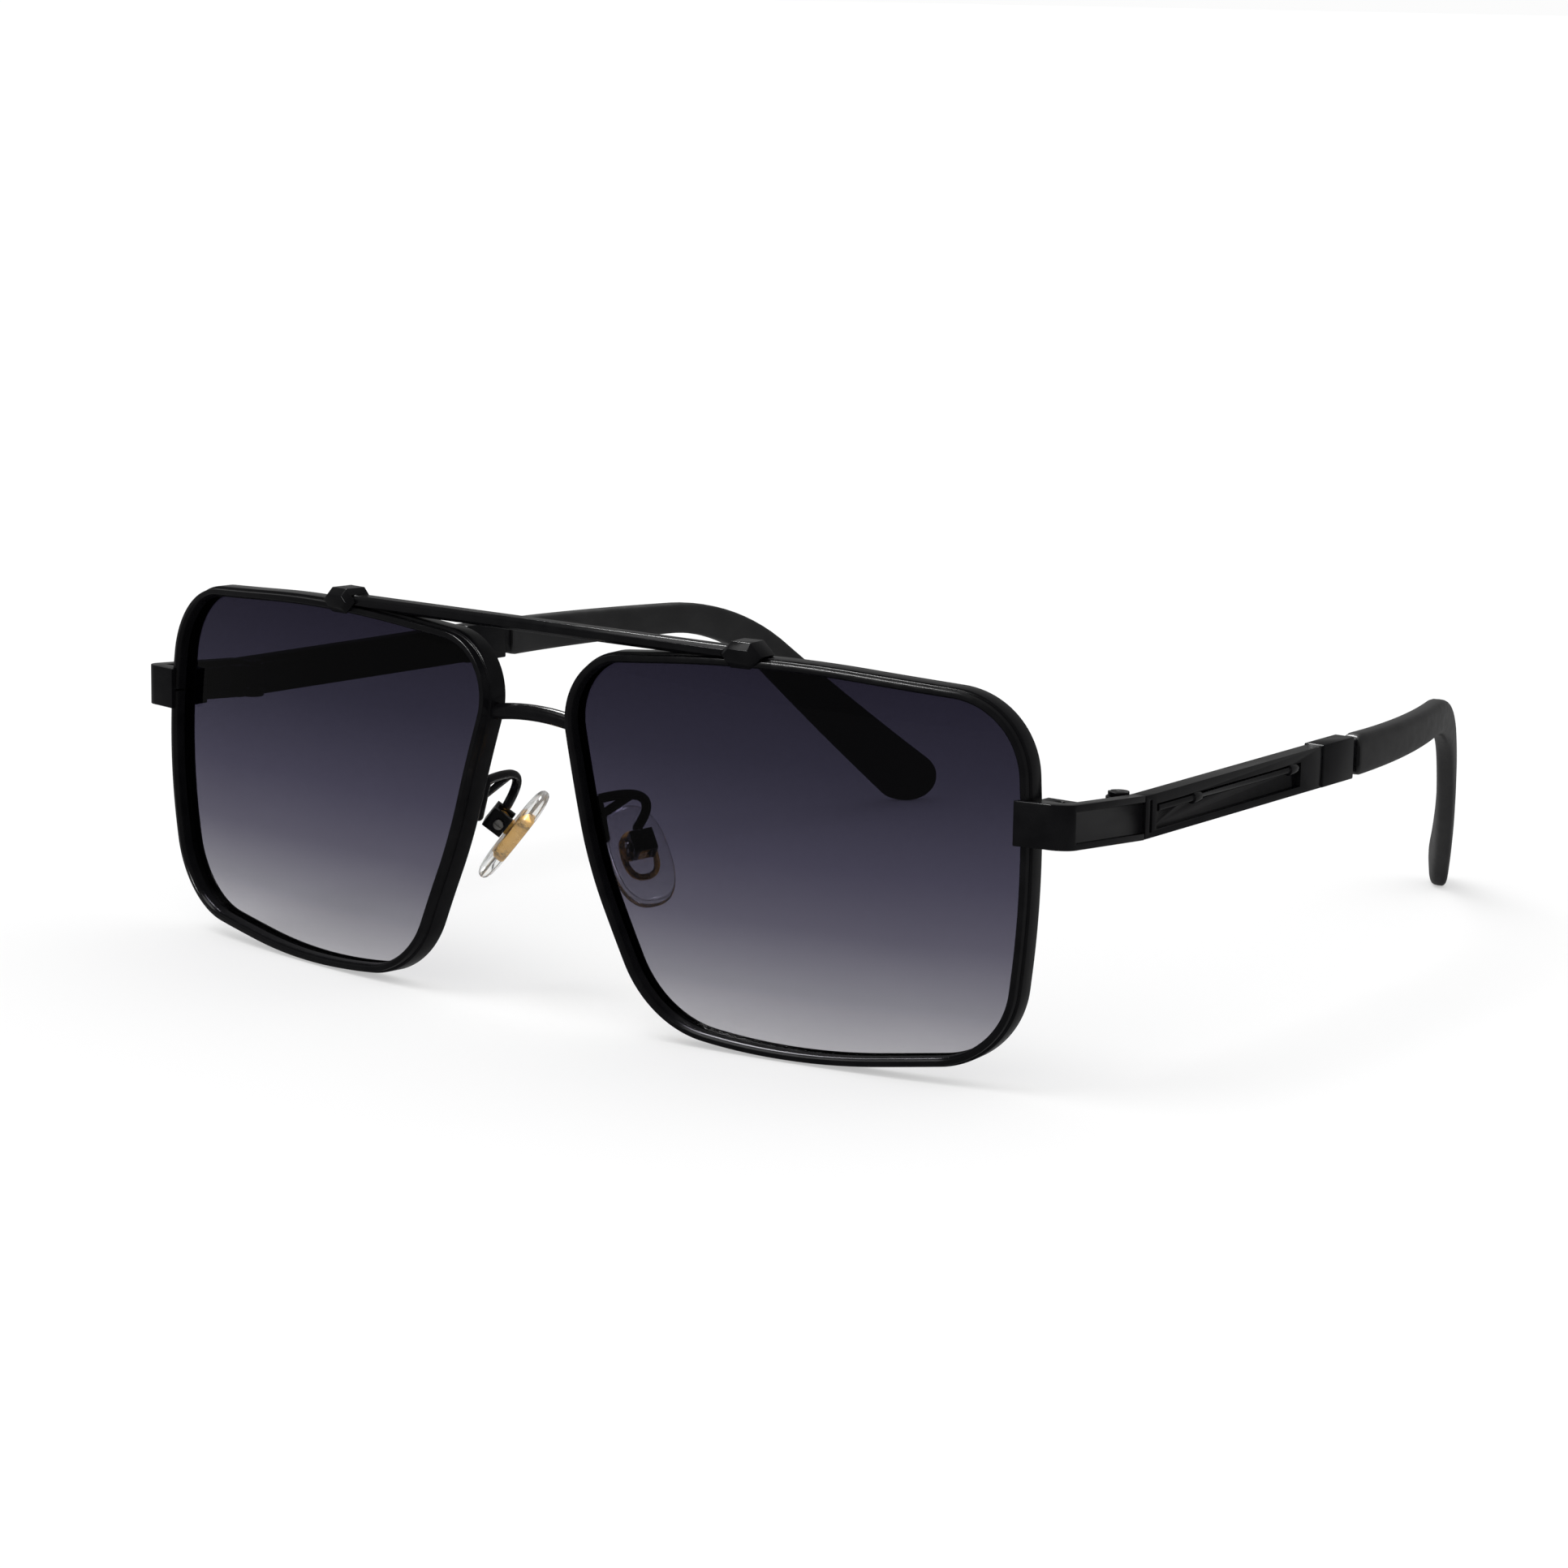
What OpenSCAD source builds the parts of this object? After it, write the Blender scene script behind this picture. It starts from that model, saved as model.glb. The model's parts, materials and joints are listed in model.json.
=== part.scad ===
// Square double-bridge aviator sunglasses: metal wire front, folding temples, screw-on nose pads.
// Millimetres. +Z is up, the lenses face -Y, +X is the wearer's left.
// The origin is on the ground under the middle of the open frame.

/* [Front] */
// Width of the lens opening in each rim
lens_w = 60; // [48:0.5:72]
// Height of the lens opening
lens_h = 45; // [36:0.5:54]
// Gap between the two lens openings at the nose
bridge_gap = 15.4; // [12:0.1:20]
// Angle that each lens turns back towards the temple
wrap = 7; // [2:0.5:10]
// Radius of the sphere that the lenses and rims follow
base_r = 190; // [150:5:400]

/* [Rims and lenses] */
// Width of the front lip of the rim
lip_w = 0.95; // [0.8:0.05:1.2]
// Width of the rim behind the lip
rim_w = 1.25; // [1.1:0.05:1.6]
// Depth of the front lip
lip_d = 1; // [0.6:0.1:1.3]
// Depth of the whole rim, front to back
rim_d = 3.4; // [3.4:0.1:4.2]
// How far the lens sits behind the front edge of the rim
lens_set = 1.7; // [1.4:0.1:1.8]
// Thickness of the lens
lens_t = 1.3; // [1:0.1:1.4]
// Depth of the groove that holds the lens edge
groove_d = 0.45; // [0.3:0.05:0.6]

/* [Brow bar and bridge] */
// Height of the brow bar's section
bar_h = 1.6; // [1.2:0.1:2]
// Depth of the brow bar's section
bar_d = 2; // [1.6:0.1:2.4]
// Height of the brow bar's underside above the bottom of the rim's top edge
bar_rise = 0.75; // [0.4:0.05:1.2]
// Distance from the middle to each brow clamp
clamp_x = 31.7; // [26:0.1:34]
// Width of a brow clamp, point to point
clamp_w = 5.7; // [5:0.1:8]
// Height of a brow clamp
clamp_h = 3.1; // [2.7:0.1:3.6]
// Diameter of the lower bridge wire
bridge_dia = 2; // [1.6:0.1:2.2]
// Height of the lower bridge above the lens centre
bridge_up = 12.5; // [8:0.1:13]
// Rise of the lower bridge in its middle
bridge_arch = 0.5; // [0.2:0.1:2]

/* [Endpieces and hinges] */
// Height of the endpiece
end_h = 5.2; // [4.8:0.1:6.4]
// Thickness of the endpiece and of its flange over the rim
end_t = 1.6; // [1.3:0.1:2]
// Thickness of the flange in front of the rim
flange_t = 0.8; // [0.5:0.1:1.2]
// Distance from the lens opening out to the endpiece's outer face
end_reach = 6.1; // [5.8:0.1:8]
// Length of the endpiece, front to back
end_len = 17.6; // [17:0.1:24]
// Height of the hinge line above the lens centre
hinge_up = 6.6; // [3:0.1:8]
// How much higher the endpiece stands at the rim than at the hinge
end_rise = 1.1; // [0:0.1:2]
// Radius of the hinge barrel
barrel_r = 1.5; // [1.3:0.05:1.7]
// Radius of the hinge screw
pin_r = 0.7; // [0.6:0.05:0.8]

/* [Temples] */
// Distance from the hinge to the start of the ear bend
to_bend = 82.5; // [72:0.5:100]
// Length of the metal arm
arm_len = 42.5; // [34:0.5:46]
// Height of the metal arm
arm_h = 5.2; // [4.8:0.1:6.4]
// Thickness of the metal arm
arm_t = 2; // [1.8:0.1:2.6]
// Radius of the ear bend
bend_r = 24; // [18:1:40]
// Angle that the tip drops behind the ear
bend_angle = 45; // [35:1:60]
// Inward lean of the temple, in millimetres for each millimetre of length
lean = 0.038; // [0:0.002:0.05]
// Inward bow of the tip, for each square millimetre
bow = 0.0045; // [0.002:0.0005:0.005]
// Thickness of the plastic tip
tip_t = 3; // [2.8:0.1:3.6]
// Width of the rounded end of the tip
tip_end_w = 7.6; // [6:0.1:9]
// Radius of the accent rod
rod_r = 0.42; // [0.3:0.02:0.5]

/* [Nose pads] */
// Length of a nose pad
pad_l = 13.6; // [11:0.1:15]
// Width of a nose pad
pad_w = 7.8; // [6:0.1:8.4]
// Thickness of a nose pad
pad_t = 1.9; // [1.5:0.1:2.2]
// Distance from the lens opening's nose side out to the pad's middle
pad_out = 2.3; // [1:0.1:4]
// Distance of the pad's middle behind the front
pad_back = 9.1; // [8:0.1:11]
// Height of the pad's middle below the lens centre
pad_down = 4.4; // [2:0.1:7]
// Radius of the pad arm wire
wire_r = 0.6; // [0.45:0.05:0.7]

/* [Clearances] */
// Gap between pieces that are soldered, glued or screwed together
joint_gap = 0.02; // [0.01:0.01:0.04]
// Radial gap around a turning pin
pin_gap = 0.04; // [0.02:0.01:0.08]
// Gap between hinge knuckles and at the temple's seam
seam_gap = 0.12; // [0.1:0.01:0.2]

/* [Hidden] */
$fn = 48;
sphere_fn = 720;      // the lens spheres are large, so their facets are kept fine
far = 20;             // reach of cutting shapes past what they cut

// ---- Lens outline: a rounded polygon, seen from the front, across to the temple and up.
// Each corner is [share of lens_w, share of lens_h, radius].
corners = [
  [0.545, 0.004, 100], [0.517, 0.451, 14], [-0.023, 0.5, 164], [-0.493, 0.444, 7],
  [-0.392, -0.076, 57], [-0.255, -0.473, 17], [0.057, -0.518, 99], [0.502, -0.44, 12]];
chord_error = 0.03;
function unit(v) = v / norm(v);
function corner_at(i) = let (c = corners[i % len(corners)]) [c.x * lens_w, c.y * lens_h];
// Every second corner is a crown, a long flat curve, and gets more of the edges beside it
edge_share = [0.58, 0.39];
function corner_arc(i, grow) =
  let (n = len(corners), b = corner_at(i), back = corner_at(i + n - 1) - b, ahead = corner_at(i + 1) - b,
       before = unit(back), after = unit(ahead), half = acos(before * after) / 2,
       limit = edge_share[i % 2] * min(norm(back), norm(ahead)) * tan(half),
       r = min(corners[i].z, limit), centre = b + unit(before + after) * r / sin(half),
       start = atan2(before.x, -before.y), turn = 180 - 2 * half,
       steps = max(2, ceil(turn / (2 * acos(1 - chord_error / r)))))
  [for (k = [0:steps]) let (a = start + turn * k / steps) centre + (r + grow) * [cos(a), sin(a)]];
function outline(grow) = [for (i = [0:len(corners) - 1]) each corner_arc(i, grow)];
// Where the outline crosses a height (or, turned, an across value)
function crossings(pts, level, axis) =
  [for (i = [0:len(pts) - 1]) let (p = pts[i], q = pts[(i + 1) % len(pts)])
    if ((p[axis] - level) * (q[axis] - level) <= 0 && p[axis] != q[axis])
      p[1 - axis] + (q[1 - axis] - p[1 - axis]) * (level - p[axis]) / (q[axis] - p[axis])];
function outer_u(v, grow) = max(crossings(outline(grow), v, 1));
function nose_u(v, grow) = min(crossings(outline(grow), v, 1));
function top_v(u, grow) = max(crossings(outline(grow), u, 0));

// ---- Where each lens stands
lens_cx = bridge_gap / 2 - cos(wrap) * min([for (p = outline(0)) p.x]);
lens_cz = -min([for (p = outline(rim_w)) p.y]);
function bulge(u, v) = base_r - sqrt(base_r * base_r - u * u - v * v);
// A point on the front, in the frame's own axes: across, up, and depth behind the rim's front
function front_pt(u, v, depth = 0) =
  let (y = bulge(u, v) + depth)
  [lens_cx + u * cos(wrap) - y * sin(wrap), u * sin(wrap) + y * cos(wrap), lens_cz + v];

// ---- Brow bar and bridge
clamp_u = (clamp_x - lens_cx) / cos(wrap);
rim_top = front_pt(clamp_u, top_v(clamp_u, 0));
bar_z = rim_top.z + bar_rise + bar_h / 2;
bar_y = rim_top.y - 0.1;
clamp_y = rim_top.y - 0.9;
clamp_d = 3.8;
clamp_bevel = 0.8;
clamp_z = rim_top.z + clamp_h / 2;
bridge_end = front_pt(nose_u(bridge_up, rim_w), bridge_up, rim_d - 1.3);
arch_r = (bridge_end.x * bridge_end.x + bridge_arch * bridge_arch) / (2 * bridge_arch);

// ---- Endpiece, hinge and temple places
hinge_edge = front_pt(outer_u(hinge_up, 0), hinge_up);
temple_z = lens_cz + hinge_up;
side_x = hinge_edge.x + end_reach;
end_front = hinge_edge.y - flange_t;
seam_y = end_front + end_len;
corner_r = 2.6;
wall_x = side_x - end_t;
hinge_x = wall_x - 2.1;
knuckle_h = 1.25;
barrel_h = end_h - 0.9;
hinge_low = temple_z - barrel_h / 2;
mid_h = barrel_h - 2 * knuckle_h - 2 * seam_gap;
plate_t = 0.8;
lock_y = hinge_edge.y + 2.7;
lock_d = 3.2;
lock_h = 2.2;
lock_split = 0.3;
lock_x = wall_x - 1.9;
lock_pin_r = 0.6;
end_slope = end_rise / (end_len - flange_t);
lock_z = temple_z + end_slope * (seam_y - lock_y - lock_d / 2);
head_h = 0.5;

// ---- Temple path, seen from the side: level, then a round bend, then a straight drop to the ground
tip_r = tip_end_w / 2;
bend_y = seam_y + to_bend;
bend_len = bend_r * bend_angle * PI / 180;
drop_z = temple_z - bend_r * (1 - cos(bend_angle));
path_len = to_bend + bend_len + (drop_z - tip_r) / sin(bend_angle);
function path_angle(s) = min(bend_angle, max(0, s - to_bend) / bend_r * 180 / PI);
function path_pt(s) =
  let (a = path_angle(s), rest = max(0, s - to_bend - bend_len))
  [seam_y + min(s, to_bend) + bend_r * sin(a) + rest * cos(a),
   temple_z - bend_r * (1 - cos(a)) - rest * sin(a)];
// The outer face, seen from above
bow_y = seam_y + 51.5;
function face_x(y) = side_x - lean * (y - seam_y) - bow * pow(max(0, y - bow_y), 2);
back_y = path_pt(path_len).x + tip_r;

// ---- Places along the temple
sleeve_len = 8;
neck_len = 1.5;
tip_start = arm_len + sleeve_len + neck_len;
core_h = 2.2;
core_in = 0.7;
core_t = 1.2;
core_end = path_len - 8;
path_step = 2.5;
channel_d = 0.8;
channel_h = 3;
channel_end = arm_len - 5.5;
rod_z = temple_z + 0.7;
rod_in = 0.36;
rod_from = 3.2;
rod_to = 36.5;
collars = [11.8, 35];
collar_r = 0.72;
collar_l = 1.6;

// ---- Nose pads
pad_pos = [bridge_gap / 2 + pad_out, pad_back, lens_cz - pad_down];
pad_turn = [10, -37, -38];   // pad standing upright -> lying on the side of the nose
pad_pivot = [2.4, 0, 0.4];
lug_r = 1.1;
lug_w = 1.3;
lug_side = 0.12;
box_w = 2.9;
box_d = 2.7;
box_h = 2.8;
pad_pin_r = 0.4;
pad_face = -pad_t / 2;
function turn_x(p, a) = [p.x, p.y * cos(a) - p.z * sin(a), p.y * sin(a) + p.z * cos(a)];
function turn_y(p, a) = [p.x * cos(a) + p.z * sin(a), p.y, p.z * cos(a) - p.x * sin(a)];
function turn_z(p, a) = [p.x * cos(a) - p.y * sin(a), p.x * sin(a) + p.y * cos(a), p.z];
function pad_world(p) = pad_pos + turn_z(turn_y(turn_x(p, pad_turn.x), pad_turn.y), pad_turn.z);
foot_v = 3.4;
foot_h = 4.6;
function foot_pt(v) = front_pt(nose_u(v, rim_w) + 0.7, v, rim_d + wire_r + 3 * joint_gap);
foot_top = foot_pt(foot_v);
foot_mid = foot_pt(foot_v - 1.9);
foot_low = foot_pt(foot_v - foot_h);
box_top = pad_world(pad_pivot + [0.5, 0, box_h / 2 + wire_r + 0.1]);
arm_knee = [pad_pos.x - 0.1, pad_pos.y + 1.4, foot_top.z + 0.6];
arm_drop = [box_top.x + 0.3, box_top.y + 3.2, box_top.z + 3];
wire_steps = 10;
function curve_pt(t) =
  pow(1 - t, 3) * foot_top + 3 * t * pow(1 - t, 2) * arm_knee
  + 3 * t * t * (1 - t) * arm_drop + pow(t, 3) * box_top;

// ---- The origin is under the middle of the frame, front to back
front_y = min([for (p = concat(outline(0), outline(lip_w))) front_pt(p.x, p.y).y]);
origin_y = (front_y + back_y) / 2;
metal = [0.1, 0.1, 0.11];
steel = [0.72, 0.72, 0.7];

// ================= placing =================
module place() { translate([0, -origin_y, 0]) children(); }
module other_side() { mirror([1, 0, 0]) children(); }
module on_lens() { translate([lens_cx, 0, lens_cz]) rotate([0, 0, wrap]) children(); }
module on_pad() { translate(pad_pos) rotate(pad_turn) children(); }
module up_cylinder(x, y, z, r, h) { translate([x, y, z]) cylinder(r = r, h = h); }
module block(from, to) { translate(from) cube(to - from); }

// ================= shared shapes =================
// A slice of the front between two depths behind the rim's front sphere
module layer(front, back) {
  reach = lens_w * 0.75;
  translate([0, base_r, 0]) rotate([-90, 0, 0]) rotate_extrude($fn = 96) intersection() {
    difference() {
      circle(r = base_r - front, $fn = sphere_fn);
      circle(r = base_r - back, $fn = sphere_fn);
    }
    translate([0, -base_r - 1]) square([reach, bulge(reach, 0) + far]);
  }
}
module upright(depth = far) {
  rotate([90, 0, 0]) translate([0, 0, -depth]) linear_extrude(depth + 5) children();
}
module lens_slice(grow, front, back) {
  intersection() {
    upright() polygon(outline(grow));
    layer(front, back);
  }
}
module ring(inner, outer, front, back) {
  intersection() {
    upright() difference() { polygon(outline(outer)); polygon(outline(inner)); }
    layer(front, back);
  }
}
// The rim's outline, right through, for pieces that meet it inside its depth
module rim_side() {
  on_lens() upright() polygon(outline(rim_w + joint_gap));
}
// Everything the rim fills, with a soldering gap, for cutting seats in other pieces
module rim_seat() {
  on_lens() lens_slice(rim_w + joint_gap, -joint_gap, rim_d + joint_gap);
}
// A strip along the temple between two lengths, upright on the side path
module side_strip(heights, from, to, round_end = false) {
  first = ceil(from / path_step + 0.1) * path_step;
  steps = [from, for (s = [first:path_step:to - 0.2]) s, to];
  upper = [for (s = steps) let (p = path_pt(s), a = path_angle(s), h = lookup(s, heights) / 2)
    [p.x + h * sin(a), p.y + h * cos(a)]];
  lower = [for (i = [len(steps) - 1:-1:0])
    let (s = steps[i], p = path_pt(s), a = path_angle(s), h = lookup(s, heights) / 2)
    [p.x - h * sin(a), p.y - h * cos(a)]];
  last = path_pt(to);
  cap = [for (a = [80:-10:-80]) if (round_end)
    last + tip_r * [cos(a - bend_angle), sin(a - bend_angle)]];
  rotate([90, 0, 90]) linear_extrude(side_x + far) polygon(concat(upper, cap, lower));
}
// A strip seen from above, between two distances inside the temple's outer face
module plan_strip(outer, inner) {
  ys = [for (y = [seam_y - 2:3:back_y + 3]) y];
  out = [for (y = ys) [face_x(y) - outer, y]];
  in = [for (i = [len(ys) - 1:-1:0]) [face_x(ys[i]) - inner, ys[i]]];
  linear_extrude(temple_z + far) polygon(concat(out, in));
}
module temple_piece(heights, from, to, outer, inner, round_end = false) {
  intersection() {
    side_strip(heights, from, to, round_end);
    plan_strip(outer, inner);
  }
}
// A straight round rod between two points
module rod(a, b, r) {
  d = b - a;
  translate(a) rotate([0, acos(d.z / norm(d)), atan2(d.y, d.x)])
    cylinder(r = r, h = norm(d), $fn = 24);
}
// A round bar that follows the temple's face
module along_temple(from, to, r) {
  translate([face_x(seam_y + from) - rod_in, seam_y + from, rod_z])
    rotate([0, 0, atan(lean)]) rotate([-90, 0, 0]) cylinder(r = r, h = to - from);
}

// ================= front =================
module rim() {
  color(metal) difference() {
    on_lens() difference() {
      ring(0, rim_w, 0, rim_d);
      ring(lip_w, rim_w + 1, -1, lip_d);
      lens_slice(groove_d, lens_set - joint_gap, lens_set + lens_t + joint_gap);
    }
    block([hinge_edge.x - 2, end_front - 1, lock_z - lock_split / 2],
          [side_x, lock_y + far, lock_z + lock_split / 2]);
  }
}
module lens() {
  color([0.2, 0.19, 0.26, 0.75])
    on_lens() lens_slice(groove_d - joint_gap, lens_set, lens_set + lens_t);
}
module brow_bar() {
  c = bar_h / 4;
  half = [bar_d / 2, bar_h / 2];
  color(metal) difference() {
    translate([-clamp_x, bar_y + half.x, bar_z]) rotate([90, 0, 90]) linear_extrude(2 * clamp_x)
      polygon([[-half.x + c, half.y], [-half.x, half.y - c], [-half.x, -half.y + c],
               [-half.x + c, -half.y], [half.x, -half.y], [half.x, half.y]]);
    rim_side();
    other_side() rim_side();
  }
}
module bar_seat() {
  block([-clamp_x - joint_gap, bar_y - joint_gap, bar_z - bar_h / 2 - joint_gap],
        [clamp_x + joint_gap, bar_y + bar_d + joint_gap, bar_z + bar_h / 2 + joint_gap]);
}
// A gem-cut block that clasps the rim's top and the end of the brow bar
module brow_clamp() {
  module gem(w, h, depth) {
    rotate([90, 0, 0]) translate([0, 0, -depth]) linear_extrude(depth)
      polygon([[w / 2, 0], [w / 2 - h / 2, h / 2], [h / 2 - w / 2, h / 2],
               [-w / 2, 0], [h / 2 - w / 2, -h / 2], [w / 2 - h / 2, -h / 2]]);
  }
  color(metal) difference() {
    translate([clamp_x, clamp_y, clamp_z]) rotate([0, 0, wrap]) hull() {
      translate([0, clamp_bevel, 0]) gem(clamp_w, clamp_h, clamp_d - clamp_bevel);
      gem(clamp_w - 2 * clamp_bevel, clamp_h - 2 * clamp_bevel, clamp_d);
    }
    rim_seat();
    bar_seat();
  }
}
module bridge() {
  color(metal) difference() {
    translate([0, bridge_end.y, bridge_end.z + bridge_arch - arch_r]) rotate([90, 0, 0])
      intersection() {
        rotate_extrude($fn = 360) translate([arch_r, 0]) circle(d = bridge_dia);
        translate([0, arch_r, 0])
          cube([2 * bridge_end.x + 2, 2 * bridge_dia + 2, 2 * bridge_dia], center = true);
      }
    rim_side();
    other_side() rim_side();
  }
}

// ================= endpiece, rim lock and hinge =================
// An upright strip that climbs from the hinge line at the seam towards the rim
module climbing_strip(height) {
  half = height / 2;
  front = [end_front - 1, temple_z + end_slope * (seam_y - end_front + 1)];
  rotate([90, 0, 90]) linear_extrude(side_x + far)
    polygon([[front.x, front.y - half], [seam_y, temple_z - half],
             [seam_y, temple_z + half], [front.x, front.y + half]]);
}
module endpiece() {
  rib = 0.8;
  recess = 0.25;
  panel_y = end_front + 3.4;
  corner = [side_x - corner_r, end_front + 0.9 + corner_r];
  color(metal) difference() {
    intersection() {
      climbing_strip(end_h);
      linear_extrude(temple_z + far)
        polygon(concat([[hinge_edge.x - 0.2, lock_y], [hinge_edge.x - 0.2, end_front]],
                       [for (a = [-90:10:0]) corner + corner_r * [cos(a), sin(a)]],
                       [[side_x, seam_y], [wall_x, seam_y], [wall_x, lock_y]]));
    }
    rim_seat();
    // The rim clasp is open towards the lens and behind it
    on_lens() lens_slice(0, -joint_gap, far / 2);
    intersection() {
      climbing_strip(end_h - 2 * rib);
      block([side_x - recess, panel_y, 0], [side_x + 1, seam_y + 1, temple_z + far]);
    }
  }
}
module lock_half(sign) {
  low = sign > 0 ? lock_z + lock_split / 2 : lock_z - lock_split / 2 - lock_h;
  color(metal) difference() {
    block([hinge_edge.x, lock_y + joint_gap, low], [wall_x - joint_gap, lock_y + lock_d, low + lock_h]);
    rim_seat();
    on_lens() lens_slice(0, 0, far / 2);
    up_cylinder(lock_x, lock_y + lock_d / 2, low - 1, lock_pin_r + joint_gap, lock_h + 2);
  }
}
module rim_lock_screw() {
  low = lock_z - lock_split / 2 - lock_h;
  y = lock_y + lock_d / 2;
  color(steel) difference() {
    union() {
      up_cylinder(lock_x, y, low - joint_gap - head_h, lock_pin_r, head_h + 2 * lock_h);
      up_cylinder(lock_x, y, low - joint_gap - head_h, 1.1, head_h);
    }
    slot(lock_x, y, low - joint_gap - head_h, 0.25);
  }
}
// A cut for a screwdriver across a screw head
module slot(x, y, z, depth) {
  translate([x - 2, y - 0.15, z]) cube([4, 0.3, depth]);
}
module knuckle(z, h, bore, web_from, web_to) {
  difference() {
    union() {
      up_cylinder(hinge_x, seam_y, z, barrel_r, h);
      block([hinge_x, seam_y + web_from, z], [wall_x - joint_gap, seam_y + web_to, z + h]);
    }
    up_cylinder(hinge_x, seam_y, z - 1, bore, h + 2);
  }
}
module front_hinge() {
  color(metal) {
    for (z = [hinge_low, hinge_low + barrel_h - knuckle_h])
      knuckle(z, knuckle_h, pin_r + joint_gap, -barrel_r - 1, -0.1);
    block([wall_x - plate_t, seam_y - 6.5, hinge_low + 0.8],
          [wall_x - joint_gap, seam_y - barrel_r - 0.5, hinge_low + barrel_h]);
  }
}
module hinge_screw() {
  top = hinge_low + barrel_h;
  color(steel) difference() {
    union() {
      up_cylinder(hinge_x, seam_y, hinge_low, pin_r, barrel_h + joint_gap + head_h);
      up_cylinder(hinge_x, seam_y, top + joint_gap, 1.25, head_h);
    }
    slot(hinge_x, seam_y, top + joint_gap + head_h - 0.25, 1);
  }
}
module temple_hinge() {
  mid = hinge_low + knuckle_h + seam_gap;
  plate_y = seam_y + barrel_r + 0.4;
  face = face_x(seam_y + 10) - arm_t;
  color(metal) {
    difference() {
      union() {
        up_cylinder(hinge_x, seam_y, mid, barrel_r, mid_h);
        block([hinge_x, seam_y + 0.2, mid], [face - joint_gap, plate_y + 1, mid + mid_h]);
      }
      up_cylinder(hinge_x, seam_y, mid - 1, pin_r + pin_gap, mid_h + 2);
    }
    block([face - plate_t - 0.4, plate_y, temple_z - arm_h / 2 + 0.6],
          [face - joint_gap, plate_y + 7.5, temple_z + arm_h / 2 - 0.6]);
  }
}

// ================= temples =================
arm_heights = [[0, end_h - 0.15], [arm_len, arm_h]];
sleeve_heights = [[arm_len, arm_h + 0.1], [arm_len + sleeve_len, arm_h + 0.1]];
neck_heights = [[0, arm_h - 0.9], [path_len, arm_h - 0.9]];
core_heights = [[0, core_h], [path_len, core_h]];
core_seat_heights = [[0, core_h + 2 * joint_gap], [path_len, core_h + 2 * joint_gap]];
tip_heights = [[tip_start, arm_h - 0.6], [tip_start + 1.2, arm_h + 0.1],
               [to_bend, arm_h - 0.7], [to_bend + bend_len, arm_h - 0.2], [path_len, tip_end_w]];
module core_seat() {
  temple_piece(core_seat_heights, arm_len - 0.5, core_end + 0.1,
               core_in - joint_gap, core_in + core_t + joint_gap);
}
module temple_arm() {
  channel = [[0, channel_h], [path_len, channel_h]];
  color(metal) difference() {
    temple_piece(arm_heights, seam_gap, arm_len - joint_gap, 0, arm_t);
    // The channel that shows the accent rod
    translate([0, 0, -0.2])
      temple_piece(channel, rod_from - 0.6, channel_end, -1, channel_d);
    for (at = collars) along_temple(at - collar_l / 2 - joint_gap, at + collar_l / 2 + joint_gap,
                                    collar_r + joint_gap);
    // The notch beside the seam
    temple_piece([[0, arm_h - 1.4], [10, arm_h - 1.4]], 1, 1.6, -1, 0.25);
  }
}
module accent_rod() {
  color(metal) {
    along_temple(rod_from, rod_to, rod_r);
    for (at = collars) along_temple(at - collar_l / 2, at + collar_l / 2, collar_r);
  }
}
module temple_sleeve() {
  color(metal) difference() {
    union() {
      temple_piece(sleeve_heights, arm_len, arm_len + sleeve_len, -0.15, arm_t + 0.7);
      temple_piece(neck_heights, arm_len + sleeve_len - 1, tip_start - joint_gap, 0.2, arm_t + 0.3);
    }
    core_seat();
  }
}
module core_wire() {
  color(steel)
    temple_piece(core_heights, arm_len, core_end, core_in, core_in + core_t);
}
module temple_tip() {
  color([0.13, 0.13, 0.14]) difference() {
    temple_piece(tip_heights, tip_start, path_len, -0.3, tip_t - 0.3, true);
    core_seat();
  }
}

// ================= nose pads =================
// A round wire swept along points, as rings of facets
module wire(pts, r, sides = 10) {
  n = len(pts);
  rings = [for (i = [0:n - 1])
    let (d = unit(pts[min(i + 1, n - 1)] - pts[max(i - 1, 0)]), a = unit(cross(d, [1, 0, 0])),
         b = cross(d, a))
    for (k = [0:sides - 1]) pts[i] + r * (a * cos(360 * k / sides) + b * sin(360 * k / sides))];
  walls = [for (i = [0:n - 2], k = [0:sides - 1]) let (m = (k + 1) % sides)
    [i * sides + k, (i + 1) * sides + k, (i + 1) * sides + m, i * sides + m]];
  ends = [[for (k = [0:sides - 1]) k], [for (k = [sides - 1:-1:0]) (n - 1) * sides + k]];
  polyhedron(rings, concat(walls, ends));
}
module pad_arm() {
  color(metal) {
    rod(foot_low, foot_top, wire_r);
    wire([for (i = [0:wire_steps]) curve_pt(i / wire_steps)], wire_r);
    // The second leg closes a small eye beside the rim
    rod(foot_mid, curve_pt(0.3), wire_r * 0.9);
  }
}
module pad_pin(r, from, to) {
  translate([pad_pivot.x, from, pad_pivot.z]) rotate([-90, 0, 0]) cylinder(r = r, h = to - from);
}
module pad_box() {
  color(metal) on_pad() difference() {
    translate([pad_pivot.x - lug_r, -box_w / 2, pad_pivot.z - box_h / 2]) cube([box_d, box_w, box_h]);
    // The slot for the lug, open towards the pad and at both ends
    translate([pad_pivot.x - box_d, -lug_w / 2 - lug_side, pad_pivot.z - box_h])
      cube([box_d + lug_r + 0.15, lug_w + 2 * lug_side, 2 * box_h]);
    pad_pin(pad_pin_r + joint_gap, -far, far);
  }
}
module pad_screw() {
  side = box_w / 2 + joint_gap;
  color(steel) on_pad() difference() {
    union() {
      pad_pin(pad_pin_r, -side - 0.4, box_w / 2);
      pad_pin(0.65, -side - 0.4, -side);
    }
    translate([pad_pivot.x, -side - 0.4, pad_pivot.z]) cube([2, 0.4, 0.25], center = true);
  }
}
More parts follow.
